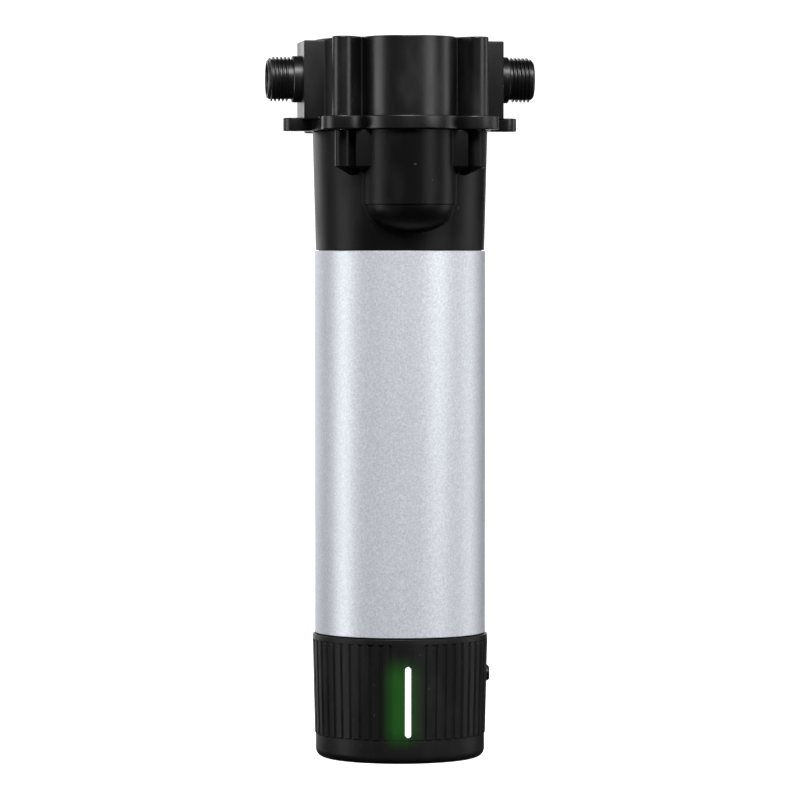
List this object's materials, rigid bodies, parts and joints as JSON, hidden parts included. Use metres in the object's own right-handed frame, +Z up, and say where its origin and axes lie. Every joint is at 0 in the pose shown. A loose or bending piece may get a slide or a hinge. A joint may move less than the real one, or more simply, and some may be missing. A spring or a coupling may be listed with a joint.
{
  "type": "uv clarifier",
  "caption": "Inline ultraviolet water clarifier: ported flow-sensing head, sleeved upright chamber and an unscrewing ribbed lamp cap.",
  "frame": {"origin": "middle of the flat base, on the axis of the tube", "axes": "+Z up along the tube; -Y is the front with the flow chamber and light strip; the ports point along -X (inlet) and +X (outlet)"},
  "size_m": [0.1254, 0.1033, 0.3358],
  "materials": {
    "black_plastic": "satin moulded black ABS",
    "silver_sleeve": "fine silver metallic coat on an aluminium tube",
    "aluminium": "machined",
    "stainless": "bright stainless steel",
    "black_rubber": "soft matt black EPDM",
    "white_silicone": "matt translucent white silicone",
    "white_ptfe": "smooth white PTFE and acetal",
    "blue_acetal": "moulded blue acetal",
    "quartz": "polished clear quartz",
    "green_board": "green solder mask on glass epoxy",
    "white_board": "white solder mask on aluminium",
    "component": "moulded black epoxy",
    "light_guide": "milky light guide, lit white with a green edge",
    "magnet": "nickel-plated magnet"
  },
  "bodies": {
    "housing": {"body_tube": "black_plastic", "flow_sensor_board": "green_board", "hall_sensor": "component", "head": "black_plastic", "head_gasket": "black_rubber", "head_screw_1": "stainless", "head_screw_2": "stainless", "head_screw_3": "stainless", "head_screw_4": "stainless", "outer_sleeve": "silver_sleeve", "reflector_seal": "white_silicone", "reflector_tube": "white_ptfe", "turbine_axle": "stainless", "turbine_lower_spider": "white_ptfe", "turbine_upper_spider": "white_ptfe"},
    "turbine": {"turbine_rotor": "blue_acetal", "rotor_magnet_1": "magnet", "rotor_magnet_2": "magnet"},
    "window_cartridge": {"window_holder": "black_plastic", "window_holder_oring": "black_rubber", "quartz_window": "quartz", "window_seal": "white_silicone", "window_retaining_ring": "white_ptfe", "slip_washer": "white_ptfe"},
    "lamp_cap": {"bottom_cover": "black_plastic", "cover_screw_1": "stainless", "cover_screw_2": "stainless", "cover_screw_3": "stainless", "dc_inlet_nut": "stainless", "dc_inlet_socket": "black_plastic", "driver_board": "green_board", "driver_capacitor_1": "component", "driver_capacitor_2": "component", "driver_chip": "component", "driver_inductor": "component", "end_cap": "black_plastic", "heat_sink": "aluminium", "heat_sink_screw_1": "stainless", "heat_sink_screw_2": "stainless", "heat_sink_screw_3": "stainless", "indicator_board": "green_board", "indicator_led_1": "light_guide", "indicator_led_2": "light_guide", "led_board_screw_1": "stainless", "led_board_screw_2": "stainless", "light_guide": "light_guide", "uv_led_1": "quartz", "uv_led_2": "quartz", "uv_led_3": "quartz", "uv_led_4": "quartz", "uv_led_5": "quartz", "uv_led_6": "quartz", "uv_led_board": "white_board"}
  },
  "joints": [
    {"name": "turbine_spin", "type": "hinge", "parent": "housing", "child": "turbine", "pos_m": [0, -0.04335, 0.28], "axis": [0, 0, 1], "continuous": true},
    {"name": "window_slide", "type": "slide", "parent": "housing", "child": "window_cartridge", "axis": [0, 0, -1], "range_m": [0, 0.00901]},
    {"name": "cap_unscrew", "type": "hinge", "parent": "window_cartridge", "child": "lamp_cap", "pos_m": [0, 0, 0.03], "axis": [0, 0, -1], "range_deg": [0, 1080]}
  ],
  "couplings": [
    {"joint": "window_slide", "follows": "cap_unscrew", "m_per_rad": 0.00047746}
  ]
}
